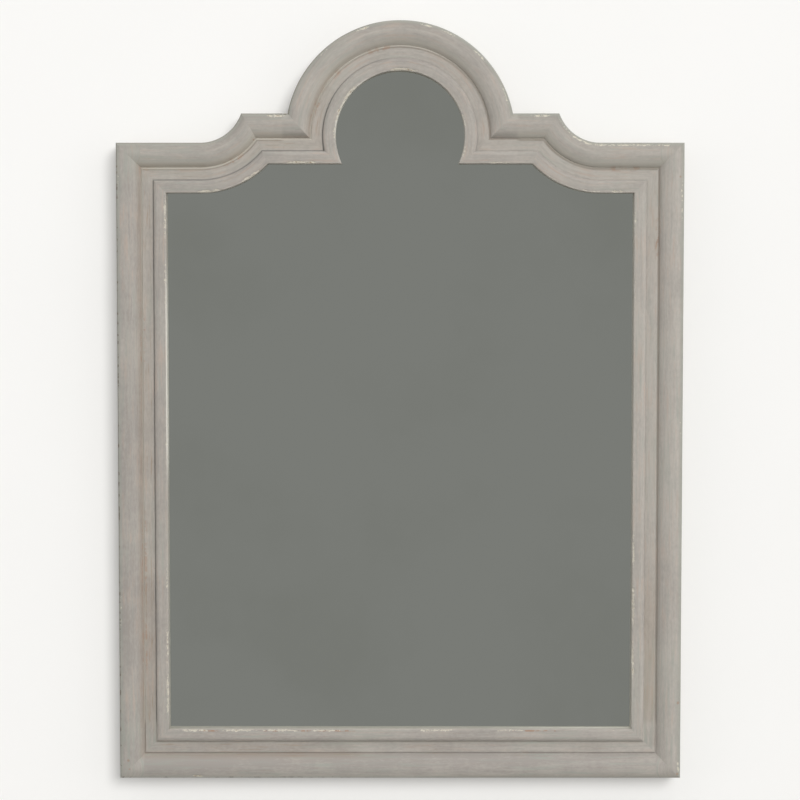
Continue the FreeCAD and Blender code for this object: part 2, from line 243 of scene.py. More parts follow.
def sectionRows():  # (offset, level, how exposed to wear), once round the section
    m = moulding
    roll = math.radians(m["edgeRollAngle"])
    crest = m["edgeRollRadius"] * (1 - math.cos(roll)) + m["crownRadius"] * math.cos(roll)
    sideTop = (m["depth"] - m["crownRadius"] * (1 - math.sin(roll))
               - m["edgeRollRadius"] * math.sin(roll))
    reach = m["cushionWidth"] - m["quirkWidth"] - crest
    drop = m["depth"] - m["quirkLevel"]
    innerRadius = (reach ** 2 + drop ** 2) / (2 * drop)
    innerEnd = math.degrees(math.acos(reach / innerRadius))
    edge = m["cushionWidth"]
    step = m["lowBandEnd"]
    stepIn, stepUp = m["stepWall"]
    sight = m["faceWidth"]
    lowRound, sightRound = m["lowRound"], m["sightRound"]
    low, lowEnd = m["lowBandLevels"]
    high, highEnd = m["sightBandLevels"]
    back = m["backRound"]
    rollEnd = 180 - m["edgeRollAngle"]
    rows = []

    def add(points, exposed, last=None, bend=1):  # exposure may change along the points
        change = 0 if last is None else last - exposed
        for i, (u, v) in enumerate(points):
            rows.append((u, v, exposed + change * (i / max(1, len(points) - 1)) ** bend))

    add(arc((back, back), back, 270, 180, 2), 0.3)
    add(between((0, back), (0, sideTop), 6), 0.1)
    add(arc((m["edgeRollRadius"], sideTop), m["edgeRollRadius"], 180, rollEnd, 7), 0.02, 0.85, 3)
    crown = arc((crest, m["depth"] - m["crownRadius"]), m["crownRadius"], rollEnd, 90, 7)
    add(crown[1:], 0.65, 0.0, 0.4)
    add(arc((crest, m["depth"] - innerRadius), innerRadius, 90, innerEnd, 14)[1:], 0.03)
    add([(edge - m["quirkWall"], m["quirkLevel"])], 0)
    add(arc((edge + lowRound, low - lowRound), lowRound, 180, 90, 5), 0.05, 0.3)
    add(between((edge + lowRound, low), (step - stepIn, lowEnd), 6), 0.06)
    add([(step - stepIn, lowEnd), (step, lowEnd + stepUp)], 0)
    wide, tall = m["sightShoulder"]
    add(oval((step + wide, high - tall), (wide, tall), 180, 90, 8), 0.12)
    add(between((step + wide, high), (sight - sightRound, highEnd), 7), 0.06, 0.6, 5)
    add(arc((sight - sightRound, highEnd - sightRound), sightRound, 90, 0, 6), 1.0, 0.3, 2)
    add(between((sight, highEnd - sightRound), (sight, m["glassLevel"]), 3), 0.3)
    add([(sight, m["glassLevel"]), (m["rebateOffset"], m["glassLevel"]),
         (m["rebateOffset"], m["landingLevel"]), (m["boardOffset"], m["landingLevel"]),
         (m["boardOffset"], 0)], 0)
    add(between((m["boardOffset"], 0), (back, 0), 8), 0)
    return rows


def outwards(rows):  # the way out of the wood at each row, as (offset, level)
    ways = []
    for i in range(len(rows)):
        before, here, after = rows[i - 1], rows[i], rows[(i + 1) % len(rows)]
        way = Vector((0, 0))
        for a, b in ((before, here), (here, after)):
            run = Vector((b[0] - a[0], b[1] - a[1]))
            if run.length > 0:
                way += Vector((-run.y, run.x)).normalized()
        ways.append(way.normalized() if way.length > 0 else way)
    return ways


rows = sectionRows()
around = [0]  # how far round the section each row lies, and last of all the whole way round
for i in range(len(rows)):
    after = rows[(i + 1) % len(rows)]
    around.append(around[-1] + math.hypot(after[0] - rows[i][0], after[1] - rows[i][1]))
sectionPoints = bpy.data.meshes.new("mouldingSection")
sectionPoints.from_pydata([(u, v, 0) for u, v, exposed in rows], [], [])
for name, kind, field, values in (
    ("way", "FLOAT_VECTOR", "vector", [c for w in outwards(rows) for c in (w.x, w.y, 0)]),
    ("exposed", "FLOAT", "value", [exposed for u, v, exposed in rows]),
    ("around", "FLOAT", "value", around[:-1]),
):
    layer = sectionPoints.attributes.new(name, kind, "POINT")
    layer.data.foreach_set(field, values)
print("section of the moulding:", len(rows), "rows")


# The lengths of the moulding
def hollowEnd(size, u):  # x where the hollow runs into the ledge, at an offset from the outline
    reach = size["Hollow radius"] + u
    drop = reach - (size["Ledge height"] - size["Shoulder height"])
    return size["Hollow centre"] - (reach * reach - drop * drop) ** 0.5


def archFoot(size, u):  # x where the ledge runs into the arch
    reach = size["Arch radius"] - u
    rise = size["Ledge height"] - u - size["Arch centre height"]
    return (reach * reach - rise * rise) ** 0.5


# Each gives x, z and the distance along the run, at an offset u and a share t of the run
def alongRail(size, u, t):
    x = (size["Half width"] - u) * (t * 2 - 1)
    return x, size["Foot height"] + u, x


def alongStile(size, u, t):
    low = size["Foot height"] + u
    z = low + (size["Shoulder height"] - u - low) * t
    return size["Half width"] - u, z, z


def alongShoulder(size, u, t):
    flatShare = 0.55
    flat = (t / flatShare).maths("MINIMUM", 1)
    bend = ((t - flatShare) / (1 - flatShare)).maths("MAXIMUM", 0)
    reach = size["Hollow radius"] + u
    rise = size["Ledge height"] - size["Shoulder height"]
    turn = ((reach - rise) / reach).maths("ARCCOSINE") * bend
    corner = size["Half width"] - u
    x = corner - (corner - size["Hollow centre"]) * flat - reach * turn.maths("SINE")
    z = size["Shoulder height"] - u + reach * (1 - turn.maths("COSINE"))
    along = (size["Half width"] - size["Hollow centre"]) * flat + (1 - flat) * u
    return x, z, along + turn * (size["Hollow radius"] + faceMiddle)


def alongLedge(size, u, t):
    start = hollowEnd(size, u)
    x = start + (archFoot(size, u) - start) * t
    return x, size["Ledge height"] - u, 0.5 - x


def alongArch(size, u, t):
    rise = size["Ledge height"] - u - size["Arch centre height"]
    foot = rise.maths("ARCTAN2", archFoot(size, u))
    turn = foot + (math.pi / 2 - foot) * t
    reach = size["Arch radius"] - u
    x = reach * turn.maths("COSINE")
    z = size["Arch centre height"] + reach * turn.maths("SINE")
    return x, z, turn * (size["Arch radius"] - faceMiddle)


def newTree(name, inputs):  # a mesh in, a mesh out, and inputs by name
    kinds = {float: "NodeSocketFloat", int: "NodeSocketInt", type(None): "NodeSocketObject"}
    tree = bpy.data.node_groups.new(name, "GeometryNodeTree")
    tree.is_modifier = True
    face = tree.interface
    face.new_socket("Geometry", in_out="INPUT", socket_type="NodeSocketGeometry")
    for label, value in inputs.items():
        socket = face.new_socket(label, in_out="INPUT", socket_type=kinds[type(value)])
        if value is not None:
            socket.default_value = value
    face.new_socket("Finish", in_out="INPUT", socket_type="NodeSocketMaterial")
    face.new_socket("Geometry", in_out="OUTPUT", socket_type="NodeSocketGeometry")
    sheet = Sheet(tree)
    entry = sheet.node("NodeGroupInput").socket.node
    size = {socket.name: Wire(sheet, socket) for socket in entry.outputs if socket.name}
    return tree, sheet, size


def finishTree(sheet, mesh, finish):
    mesh = sheet.node("GeometryNodeRealizeInstances", None, {"Geometry": mesh})
    mesh = sheet.node("GeometryNodeSetMaterial", None, {"Geometry": mesh, "Material": finish})
    sheet.node("NodeGroupOutput", None, {"Geometry": mesh})


def lengthTree(name, along):  # bends a flat grid into a length, row by row of the section
    tree, sheet, size = newTree(name, {**outline, **hand, "Side": 1.0, "Steps": 100})
    count = len(rows)
    grid = sheet.node("GeometryNodeMeshGrid", None, {
        "Size X": float(count), "Size Y": 1.0, "Vertices X": count + 1,
        "Vertices Y": size["Steps"]})
    spot = sheet.split(sheet.node("GeometryNodeInputPosition"))
    t = (spot.also("Y") + 0.5).maths("MINIMUM", 1).maths("MAXIMUM", 0)
    row = (spot + count / 2).maths("ROUND")
    wrapped = row.maths("MODULO", count)

    def ofRow(kind, value):
        settings = {"data_type": kind, "domain": "POINT"}
        return sheet.node("GeometryNodeSampleIndex", settings,
                          {"Geometry": size["Geometry"], "Value": value, "Index": wrapped})

    def attribute(kind, label):
        return sheet.node("GeometryNodeInputNamedAttribute", {"data_type": kind}, {"Name": label})

    section = sheet.split(ofRow("FLOAT_VECTOR", sheet.node("GeometryNodeInputPosition")))
    u, v = section, section.also("Y")
    way = sheet.split(ofRow("FLOAT_VECTOR", attribute("FLOAT_VECTOR", "way")))
    exposed = ofRow("FLOAT", attribute("FLOAT", "exposed"))

    x, z, runs = along(size, u, t)
    plain = sheet.point(x * size["Side"], size["Back plane"] - v, z)
    # Spots of wear from the list, a few of which also paint a highlight by the glass
    rubbedAndHighlit = sheet.spots(plain, wornPlaces, 1.0, 0.3)
    worn = (exposed * (0.30 + rubbedAndHighlit)).maths("MINIMUM", 1)
    seed = size["Seed"]
    wave = sheet.noise(plain, size["Wave scale"], 1, 0.5, seed) * size["Waviness"]
    scrape = sheet.noise(plain, size["Scrape scale"], 1, 0.5, seed + 1) * size["Scraping"]
    chips = sheet.noise(plain, size["Chip scale"], 2, 0.6, seed + 2)
    knocked = sheet.smooth(chips + worn * 0.30, 0.72, 0.84) * sheet.smooth(exposed, 0.2, 0.5)
    inwards = wave + scrape + knocked * size["Chip depth"]
    movedU = u - way * inwards
    movedV = v - way.also("Y") * inwards
    x, z = along(size, movedU, t)[:2]
    settled = sheet.point(x * size["Side"], size["Back plane"] - movedV, z)
    wholeTurn = sheet.maths("GREATER_THAN", row, count - 0.5) * around[-1]
    across = ofRow("FLOAT", attribute("FLOAT", "around")) + wholeTurn

    mesh = grid  # what is read from the flat grid is stored before the grid is bent
    for label, value, domain, kind in (
        ("Run", sheet.point(runs, across, 0), "CORNER", "FLOAT2"),
        ("Section", sheet.point(u, v, 0), "CORNER", "FLOAT2"),
        ("worn", worn, "POINT", "FLOAT"),
        ("knocked", knocked, "POINT", "FLOAT"),
    ):
        mesh = sheet.node("GeometryNodeStoreNamedAttribute", {"data_type": kind, "domain": domain},
                          {"Geometry": mesh, "Name": label, "Value": value})
    mesh = sheet.node("GeometryNodeSetPosition", None, {"Geometry": mesh, "Position": settled})
    mesh = sheet.node("GeometryNodeMergeByDistance", None, {"Geometry": mesh, "Distance": 1e-6})
    mesh = sheet.node("GeometryNodeSetShadeSmooth", None, {"Geometry": mesh})
    finishTree(sheet, mesh, size["Finish"])
    return tree


def grown(name, start, tree, inputs):  # what a tree makes of a mesh, as a plain mesh object
    piece = bpy.data.objects.new(name, start)
    bpy.context.collection.objects.link(piece)
    modifier = piece.modifiers.new("Growth", "NODES")
    modifier.node_group = tree
    for item in tree.interface.items_tree:
        if item.in_out == "INPUT" and item.name in inputs:
            modifier[item.identifier] = inputs[item.name]
    graph = bpy.context.evaluated_depsgraph_get()
    made = bpy.data.meshes.new_from_object(piece.evaluated_get(graph), depsgraph=graph,
                                           preserve_all_data_layers=True)
    piece.modifiers.remove(modifier)
    piece.data = made
    made.name = name
    made.materials.clear()
    made.materials.append(inputs["Finish"])
    return piece


def closeAndTurnOut(piece, sharpAngle=38):  # caps open ends, turns faces outwards, keeps arrises
    work = bmesh.new()
    work.from_mesh(piece.data)
    openEdges = [edge for edge in work.edges if edge.is_boundary]
    if openEdges:
        caps = bmesh.ops.holes_fill(work, edges=openEdges, sides=0)["faces"]
        bmesh.ops.triangulate(work, faces=caps)
    bmesh.ops.recalc_face_normals(work, faces=work.faces)
    for edge in work.edges:
        edge.smooth = edge.calc_face_angle(0) < math.radians(sharpAngle)
    for face in work.faces:
        face.smooth = True
    work.to_mesh(piece.data)
    work.free()
    return piece


def stands(piece, body, slot, *replaced):
    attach(piece, body)
    if replaced:
        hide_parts(*replaced)


# Materials
def newMaterial(name):  # with its node tree, and where a point of the surface is, in metres
    material = bpy.data.materials.new(name)
    material.use_nodes = True
    material.node_tree.nodes.clear()
    sheet = Sheet(material.node_tree)
    return material, sheet, sheet.node("ShaderNodeTexCoord", out="Object")


def surface(sheet, sockets, height):  # the height of its relief is in metres
    sockets["Normal"] = sheet.node("ShaderNodeBump", None, {
        "Strength": 1.0, "Distance": 1.0, "Height": height})
    shader = sheet.node("ShaderNodeBsdfPrincipled", None, sockets)
    sheet.node("ShaderNodeOutputMaterial", None, {"Surface": shader})


# Where wax and rust-brown stain were left beside the quirk and the rail's inner edge: x, z, radius
rustyPlaces = [
    (-0.122, 0.190, 0.045), (-0.100, 0.236, 0.035), (-0.030, 0.275, 0.045), (-0.412, 0.098, 0.020),
    (-0.410, -0.18, 0.090), (-0.410, -0.52, 0.110), (-0.410, -0.66, 0.070), (-0.260, 0.110, 0.030),
    (0.355, 0.095, 0.050), (0.395, -0.02, 0.060), (-0.300, -0.804, 0.030), (-0.190, -0.804, 0.045),
    (-0.140, -0.804, 0.045), (-0.090, -0.804, 0.040), (0.205, -0.804, 0.045),
    (0.250, -0.804, 0.040),
]

bruises = [  # small brown knocks: x, z, radius
    (-0.4355, -0.850, 0.0028), (-0.434, -0.864, 0.0020), (0.4425, 0.082, 0.0022),
    (0.4450, -0.757, 0.0032), (0.4445, -0.872, 0.0026),
]

paint = {
    "pale": srgb(184, 178, 170),
    "middle": srgb(171, 165, 158),
    "dark": srgb(157, 151, 145),
    "pink": srgb(184, 164, 150),
    "green": srgb(157, 161, 152),
    "undercoat": srgb(207, 201, 186),
    # The next four colours also paint light and shade: the lip's pale for painted light on shaded
    # slopes and hollows, a near white for painted highlights and rubbed places by the glass, a
    # brown for painted shade along rims and in a quirk, and a grey for the painted shadow at the
    # step's foot
    "lip": srgb(197, 193, 182),
    "rubbedAndHighlit": srgb(232, 229, 219),
    "waxAndShade": srgb(104, 94, 80),
    "paintedShadow": srgb(92, 95, 93),
    "umber": srgb(146, 122, 97),
    "rust": srgb(158, 122, 98),
    "wood": srgb(140, 112, 84),
    "speck": srgb(92, 80, 66),
}

timber = {"dark": srgb(150, 116, 80), "middle": srgb(186, 152, 112), "pale": srgb(205, 175, 136)}

strokes = {  # marks drawn out along the brush's way: length and width in metres, and seed
    "broad": (0.13, 0.0085, 3),
    "middling": (0.055, 0.0034, 4),
    "fine": (0.030, 0.0016, 12),
    "mottle": (0.0085, 0.0030, 16),
    "pinkish": (0.060, 0.0042, 13),
    "greenish": (0.080, 0.0052, 14),
    "streaks": (0.050, 0.0023, 15),
    "drawn": (0.018, 0.0010, 8),
    "nicks": (0.0038, 0.0016, 17),
    "dirt": (0.010, 0.0040, 20),
}

grains = {"fibres": (0.20, 0.0016, 10), "rings": (0.35, 0.009, 11)}  # the same, along the timber

clouds = {  # marks with no way of their own: how many to a metre, detail, roughness and seed
    "cloud": (5, 3, 0.55, 1),
    "blotch": (24, 3, 0.6, 2),
    "patches": (14, 3, 0.6, 6),
    "flecks": (75, 2, 0.6, 18),
    "grit": (330, 4, 0.65, 7),
    "specks": (480, 1, 0.5, 9),
}

relief = {"broad": 0.00009, "middling": 0.00007, "fine": 0.00005, "grit": 0.00004}  # metres
chippedPaint, openGrain = 0.00006, 0.0001


def whereItLies(sheet, place):  # measures and masks of a point of the painted wood
    at = SimpleNamespace(place=place)
    at.x = sheet.split(place)
    at.z = at.x.also("Z")
    section = sheet.split(sheet.node("ShaderNodeUVMap", {"uv_map": "Section"}))
    at.offset, at.level = section * 1000, section.also("Y") * 1000  # millimetres
    for name in ("worn", "knocked"):
        setattr(at, name, sheet.node("ShaderNodeAttribute", {"attribute_name": name}, out="Fac"))

    # The stiles were brushed last, from end to end, over the ends of the rail and the shoulders
    aside = sheet.maths("ABSOLUTE", at.x)
    at.overStile = sheet.smooth(aside, 0.4100, 0.4112)
    upright = sheet.point(at.z, aside - at.x.also("Y"), 0)
    at.lengthwise = sheet.node("ShaderNodeUVMap", {"uv_map": "Run"})
    at.brushed = sheet.node("ShaderNodeMix", {"data_type": "VECTOR"}, {
        0: at.overStile, 4: at.lengthwise, 5: upright}, 1)

    at.left = sheet.smooth(at.x, 0.02, -0.12)
    at.right = sheet.smooth(at.x, 0.03, 0.12)
    at.low = sheet.smooth(at.z, -0.52, -0.62)
    at.rail = sheet.smooth(at.z, -0.78, -0.80)
    fromSide = outline["Half width"] - aside
    pastMitre = fromSide - (at.z - outline["Foot height"])
    at.onRail = sheet.smooth(pastMitre, -0.0015, 0.0015) * at.rail
    at.archway = sheet.smooth(aside, 0.190, 0.182) * sheet.smooth(at.z, 0.10, 0.14)
    fromCentre = sheet.point(at.x, 0, at.z - outline["Arch centre height"])
    steep = sheet.split(sheet.vector("NORMALIZE", fromCentre)).also("Z")
    pastMitre = fromSide - (outline["Shoulder height"] - at.z)
    shoulders = sheet.smooth(pastMitre, -0.0015, 0.0015) * sheet.smooth(at.z, 0.0, 0.05)
    at.top = shoulders * (1 - at.archway * (1 - steep))  # less, the steeper the arch
    at.cushion = sheet.smooth(at.offset, 41.5, 40.5)
    at.lowBand = sheet.smooth(at.offset, 41, 43) * sheet.smooth(at.offset, 59, 58)
    at.front = sheet.smooth(at.level, 20, 27)
    return at


def brushMarks(sheet, at):
    marks = SimpleNamespace()
    for sizes, along in ((strokes, at.brushed), (grains, at.lengthwise)):
        for name, (length, width, seed) in sizes.items():
            stretched = sheet.vector("MULTIPLY", along, (1 / length, 1 / width, 1))
            setattr(marks, name, sheet.noise(stretched, 1, 2, 0.6, seed, 0.25))
    for name, (scale, detail, roughness, seed) in clouds.items():
        setattr(marks, name, sheet.noise(at.place, scale, detail, roughness, seed))
    return marks


def paintedLightAndShade(sheet, at):  # painted light and shade: by how much the paint is made paler, or below 0 darker, from part to part, standing in for how the light falls on each
    offset, rightUp, leftLow = at.offset, at.right * (1 - at.low), at.left * at.low
    # Painted light: paler towards the right and the top
    lean = at.x * 0.145 + at.z * 0.045 - 0.005
    # Painted shade on the bottom rail's cushion, deepest towards its inner edge, and painted light
    # on the rail's outer slope
    railShade = 0.04 + at.cushion * (0.15 * sheet.smooth(offset, 4, 30) - 0.025)
    lean = lean - sheet.larger(at.rail * (1 - at.overStile), at.onRail * at.right) * railShade
    lean = lean + at.onRail * sheet.smooth(offset, 10, 2) * 0.20
    # Painted shade on the top members' outer roll, their upward sight shoulder and the right-hand
    # cushion, with the rest of their cushions a little paler; painted shade on the left of the arch
    # at its outer edge
    lean = lean + at.top * at.cushion * (0.20 * sheet.smooth(offset, 4, 15) - 0.16)
    lean = lean - at.top * sheet.smooth(offset, 59, 59.5) * sheet.smooth(offset, 69, 64) * 0.12
    lean = lean - at.top * at.cushion * at.right * 0.05
    lean = lean - at.left * at.archway * sheet.smooth(offset, 12, 4) * 0.08
    # The low band paler, the sight band paler at the upper right and the lower left, and the
    # cushion paler at the upper right
    lean = lean + at.lowBand * (0.06 + at.left * (0.035 - 0.07 * at.low))
    sightBand = sheet.smooth(offset, 60, 62) * (1 - at.top) * (1 - at.rail)
    lean = lean + sightBand * (rightUp * 0.03 + leftLow * 0.04)
    return lean + at.cushion * rightUp * 0.03


def brushedOn(sheet, at, marks):  # the grey, with the pink and the green in it, painted shade along the rims and painted light on the top members' inner slopes
    tone = (marks.cloud * 0.36 + marks.broad * 0.27 + marks.middling * 0.27 + marks.fine * 0.14
            + marks.mottle * 0.38 + marks.blotch * 0.32 - 0.34 + paintedLightAndShade(sheet, at))
    colour = sheet.ramp(tone, (0.33, paint["dark"]), (0.50, paint["middle"]), (0.67, paint["pale"]))
    pinkish = sheet.smooth(marks.pinkish * 0.65 + marks.blotch * 0.35, 0.50, 0.66)
    pinkish = pinkish * (0.50 - at.rail * (0.20 + 0.22 * at.cushion))
    colour = sheet.mix(pinkish, colour, paint["pink"])
    greenish = sheet.smooth(marks.greenish * 0.6 + marks.cloud * 0.4, 0.49, 0.66)
    # The outer edge greener and darker, less so on the bottom rail: partly the paint's own colour,
    # partly painted shade
    greenAndShadedEdge = sheet.smooth(at.offset, 9, 0.5) * (1 - 0.7 * at.onRail)
    greenish = sheet.larger(greenish * (0.45 + 0.20 * at.rail), greenAndShadedEdge * 0.7)
    colour = sheet.mix(greenish, colour, paint["green"])
    # Painted shade along the rims: at the outer edge, most on the left, on the outer slopes at the
    # right and the top, and in a line beside the quirk on the top members where the low band's
    # arris would catch the light; the thin band at the very edge is partly darker paint
    rimWaxAndShade = sheet.smooth(at.offset, 3.2, 1.2) * (1 - at.onRail) * (0.10 + 0.30 * at.left)
    rimWaxAndShade = sheet.larger(rimWaxAndShade, sheet.smooth(at.offset, 10, 3) * at.right * 0.13)
    rimWaxAndShade = sheet.larger(rimWaxAndShade, sheet.smooth(at.offset, 17, 8) * at.top * 0.11)
    rimWaxAndShade = sheet.larger(rimWaxAndShade, sheet.line(at.offset, 42.0, 2.6, 0.9) * at.top * 0.40)
    colour = sheet.mix(rimWaxAndShade, colour, paint["waxAndShade"])
    # Painted light: the inner slopes of the top members, which face down, made paler
    innerSlopeLight = sheet.smooth(at.offset, 21, 35) * at.cushion
    return sheet.mix(innerSlopeLight * at.top * 0.55, colour, paint["lip"])


def stained(sheet, at, marks, colour):  # wax and umber in the low places, and drawn out beside them; painted light in the left quirk and at the rail's step, painted shade in the right quirk and painted shadow at the step's foot
    quirkAt = moulding["cushionWidth"] * 1000 - 0.6
    stepAt = moulding["lowBandEnd"] * 1000 - 0.2
    patchy = sheet.smooth(marks.patches, 0.34, 0.66)
    glaze = sheet.smooth(at.offset, quirkAt - 9, quirkAt)
    glaze = glaze * sheet.smooth(at.offset, stepAt + 1, stepAt - 6)
    glaze = glaze * sheet.smooth(marks.middling * 0.55 + patchy * 0.30 + at.left * 0.22,
                                 0.36, 0.78)
    streaks = sheet.smooth(marks.streaks, 0.56, 0.66) * (0.25 + glaze)
    slopeFoot = sheet.smooth(at.offset, 28, 37) * sheet.smooth(at.offset, 41, 40)
    glaze = glaze + slopeFoot * at.left * 1.6
    browned = at.lowBand * at.low * (1 - at.rail) * (0.22 * at.right + 0.08 * at.left)
    umber = glaze * 0.10 + streaks * 0.30 + browned
    colour = sheet.mix(umber * at.front, colour, paint["umber"])

    rusty = sheet.spots(at.place, rustyPlaces, 1.0, 0.2)
    beside = sheet.larger(sheet.line(at.offset, quirkAt + 1.5, 6.0, 1.5),
                          sheet.line(at.offset, 77.2, 2.0, 0.7) * at.rail * 1.6)
    rusty = rusty * beside * sheet.smooth(sheet.noise(at.brushed, 85, 3, 0.6, 19), 0.47, 0.60)
    flecks = sheet.smooth(marks.flecks, 0.735, 0.80)
    flecks = sheet.spots(at.place, bruises, 1.6, 0.8, marks.mottle, flecks)
    rusty = sheet.larger(rusty * 0.46, flecks * 0.50)
    colour = sheet.mix(rusty * at.front, colour, paint["rust"])

    stepFoot = sheet.line(at.offset, stepAt, 1.7, 0.3)
    # Painted light: the left quirk and the rail's step foot made paler where these hollows lie in
    # shade
    paintedLightInHollows = sheet.line(at.offset, quirkAt + 0.7, 1.9, 0.9) * at.left * (1 - at.rail)
    paintedLightInHollows = sheet.larger(paintedLightInHollows, stepFoot * at.rail) * 0.5
    colour = sheet.mix(paintedLightInHollows * at.front, colour, paint["lip"])
    # Painted shade in the right-hand quirk, which lies away from the light
    rightQuirkShade = sheet.line(at.offset, quirkAt, 2.4, 0.5) * at.right * (1 - at.rail) * 0.42
    colour = sheet.mix(rightQuirkShade * at.front, colour, paint["waxAndShade"])
    # Painted shadow at the foot of the step, strongest on the left and patchy along it
    stepShadow = 0.03 + 0.12 * patchy + 0.38 * at.left + 0.10 * at.top
    stepShadow = stepShadow * stepFoot * (1 - at.rail)
    return sheet.mix(stepShadow * at.front, colour, paint["paintedShadow"])


def wornAndHighlit(sheet, at, marks, colour):  # at the edges, to undercoat and then to wood, with painted highlights on the inner wall beside the glass
    # A pale lip along the glass: nicks and drawn wear on the arris, and the inner wall pale all
    # round, which is partly painted highlight
    arris = sheet.smooth(at.offset, 77.3, 78.2) * sheet.smooth(at.level, 26.9, 27.3)
    lip = sheet.smooth(marks.nicks * 0.5 + marks.drawn * 0.5, 0.42, 0.58)
    lip = lip * (0.30 - 0.22 * at.rail)
    lip = sheet.larger(lip, sheet.smooth(at.offset, 79.85, 79.95) * 0.66) * arris
    colour = sheet.mix(lip, colour, paint["lip"])

    # Painted highlight: the sight's inner wall and arris made near white where they face the light,
    # on the left stile, the left of the arch and the right half of the rail
    onStile = sheet.smooth(at.z, -0.43, -0.33) * sheet.smooth(at.z, -0.02, -0.14)
    onStile = onStile * sheet.smooth(at.x, -0.30, -0.35)
    onArch = at.archway * sheet.smooth(at.x, -0.035, -0.070) * sheet.smooth(at.z, 0.135, 0.165)
    leftWallHighlight = sheet.larger(onStile, onArch * 0.8) * arris * (0.55 + 0.45 * marks.drawn) * 0.85
    besideGlass = sheet.smooth(at.offset, 79.2, 79.7) * sheet.smooth(at.level, 34, 29)
    onRail = besideGlass * at.rail * sheet.smooth(at.x, 0.08, 0.30) * 0.95
    colour = sheet.mix(sheet.larger(leftWallHighlight, onRail), colour, paint["rubbedAndHighlit"])

    bare = marks.nicks * 0.85 + marks.drawn * 0.15 + marks.grit * 0.2 + at.worn * 0.32
    bare = sheet.larger(sheet.smooth(bare, 0.87, 0.92),
                        sheet.smooth(at.knocked + marks.grit * 0.5, 0.65, 0.9))
    colour = sheet.mix(bare * 0.85, colour, paint["undercoat"])
    toWood = sheet.smooth(marks.grit * 0.6 + at.worn * 0.24 + at.knocked * 0.10, 0.64, 0.70)
    colour = sheet.mix(toWood * 0.75, colour, paint["wood"])
    specks = sheet.smooth(marks.specks, 0.765, 0.80) * (0.22 + sheet.smooth(at.offset, 5, 1))
    dirt = sheet.smooth(marks.dirt, 0.56, 0.62) * at.left * (1 - at.top)
    specks = sheet.larger(specks, dirt * sheet.smooth(at.offset, 3.4, 2.2))
    return sheet.mix(specks * 0.8, colour, paint["speck"]), bare


def makePaint():
    # The paint carries painted light and shade as well as its wear and stains
    material, sheet, place = newMaterial("distressedPaint")
    at = whereItLies(sheet, place)
    marks = brushMarks(sheet, at)
    colour = stained(sheet, at, marks, brushedOn(sheet, at, marks))
    colour, bare = wornAndHighlit(sheet, at, marks, colour)

    # The back and the rebates were never painted, only lapped by the brush
    lap = 2.5 + 3 * marks.broad
    behind = sheet.smooth(at.level, 0.9, 0.3) * sheet.smooth(at.offset, lap, lap + 0.6)
    inside = sheet.smooth(at.offset, 57, 57.6) * sheet.smooth(at.level, 26.8, 26.4)
    raw = sheet.larger(behind, inside)
    grain = marks.fibres * 0.6 + marks.rings * 0.4
    colour = sheet.mix(raw, colour, sheet.ramp(
        grain, (0.35, timber["dark"]), (0.52, timber["middle"]), (0.66, timber["pale"])))
    height = raw * grain * openGrain - bare * chippedPaint
    for name, ridge in relief.items():
        height = height + getattr(marks, name) * ridge
    roughness = 0.52 + 0.16 * marks.fine + 0.10 * raw
    surface(sheet, {"Base Color": colour, "Roughness": roughness}, height)
    return material


paintedWood = makePaint()
print("paint mixed")

pointSpacing = 0.002
lengths = {  # the way it runs, its longest line in metres, and its CAD nodes, -1 being the left
    "rail": (alongRail, 0.90, {"bottom_rail": 1}),
    "stile": (alongStile, 1.016, {"right_stile": 1, "left_stile": -1}),
    "shoulder": (alongShoulder, 0.25, {"right_shoulder": 1, "left_shoulder": -1}),
    "ledge": (alongLedge, 0.13, {"right_ledge": 1, "left_ledge": -1}),
    "arch": (alongArch, 0.25, {"right_arch": 1, "left_arch": -1}),
}
for lengthName, (along, reach, sides) in lengths.items():
    tree = lengthTree(lengthName + "Moulding", along)
    for node, side in sides.items():
        made = grown(node + "_moulding", sectionPoints, tree, {
            "Side": float(side), "Steps": round(reach / pointSpacing), "Finish": paintedWood})
        closeAndTurnOut(made)
        stands(made, "frame", "painted_wood", node)
    print(lengthName, "made,", len(made.data.polygons), "faces each")


# Hardware on the back
hinge = {"x": 0.421, "y": -0.0054}  # the rings' hinge line, level with z = 0
ring = {"bar": (-0.009, -0.005, 0.0, 0.005, 0.009), "bowRadius": 0.015, "cornerRadius": 0.0026}
ringWire = {"Wire radius": 0.002, "Wire sides": 20}
strap = {"easedEdge": 0.0003, "easedSteps": 2, "easedFrom": 40}  # degrees
bumper = {"easedEdge": 0.0011, "easedSteps": 4, "easedFrom": 20}


def ringPath():  # once round the ring, from the hinge line down: a bar, two corners and a bow
    wide, corner = ring["bowRadius"], ring["cornerRadius"]
    points = [(x, 0) for x in ring["bar"]]
    points += arc((wide - corner, -corner), corner, 90, 0, 6)
    points += arc((0, -corner), wide, 0, -180, 36)[1:]
    points += arc((corner - wide, -corner), corner, 180, 90, 6)
    return points


def wireTree():
    tree, sheet, size = newTree("bentWire", ringWire)
    path = sheet.node("GeometryNodeMeshToCurve", None, {"Mesh": size["Geometry"]})
    wire = sheet.node("GeometryNodeCurvePrimitiveCircle", None, {
        "Resolution": size["Wire sides"], "Radius": size["Wire radius"]})
    mesh = sheet.node("GeometryNodeCurveToMesh", None, {"Curve": path, "Profile Curve": wire})
    finishTree(sheet, mesh, size["Finish"])
    return tree


